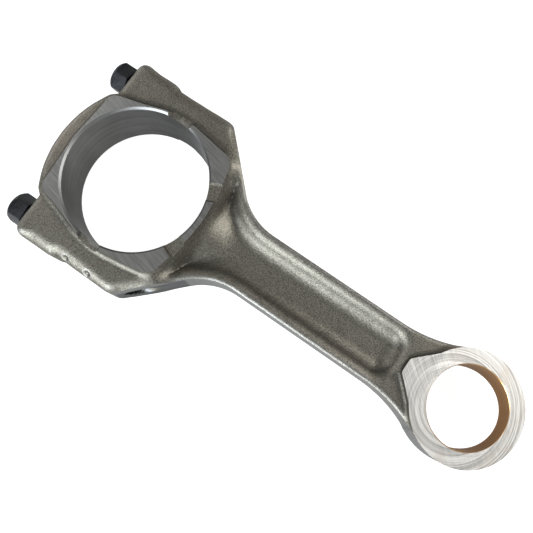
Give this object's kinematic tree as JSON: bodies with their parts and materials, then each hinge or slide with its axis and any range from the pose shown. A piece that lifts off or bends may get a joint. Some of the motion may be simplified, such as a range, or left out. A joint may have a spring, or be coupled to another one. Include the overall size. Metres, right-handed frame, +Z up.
{
  "type": "connecting rod",
  "caption": "Forged I-beam connecting rod with a bolted cap at the big end and a bronze bush in a wedge-shaped small end.",
  "frame": {"origin": "under the middle of the rod, on the plane of the big end's lower thrust face", "axes": "+X from the big end to the small end, +Z up along both bore axes, +Y across the rod"},
  "size_m": [0.269, 0.109, 0.0344],
  "materials": {
    "forged_steel": "as forged and shot blasted, grey-brown, with bare machined thrust faces, bores and flanks",
    "bronze": "bronze bore lining with pale ground end faces",
    "black_steel": "black oxide"
  },
  "bodies": {
    "rod": {"rod_body": "forged_steel", "small_end_bush": "bronze"},
    "cap": {"rod_cap": "forged_steel"},
    "bolt_upper": {"cap_bolt_upper": "black_steel"},
    "bolt_lower": {"cap_bolt_lower": "black_steel"}
  },
  "joints": [
    {"name": "cap_lift", "type": "slide", "parent": "rod", "child": "cap", "axis": [-1, 0, 0], "range_m": [0, 0.0225]},
    {"name": "bolt_upper_turn", "type": "hinge", "parent": "cap", "child": "bolt_upper", "pos_m": [-0.1215, 0.0435, 0.0172], "axis": [-1, 0, 0], "range_deg": [0, 6480]},
    {"name": "bolt_lower_turn", "type": "hinge", "parent": "cap", "child": "bolt_lower", "pos_m": [-0.1215, -0.0435, 0.0172], "axis": [-1, 0, 0], "range_deg": [0, 6480]}
  ]
}
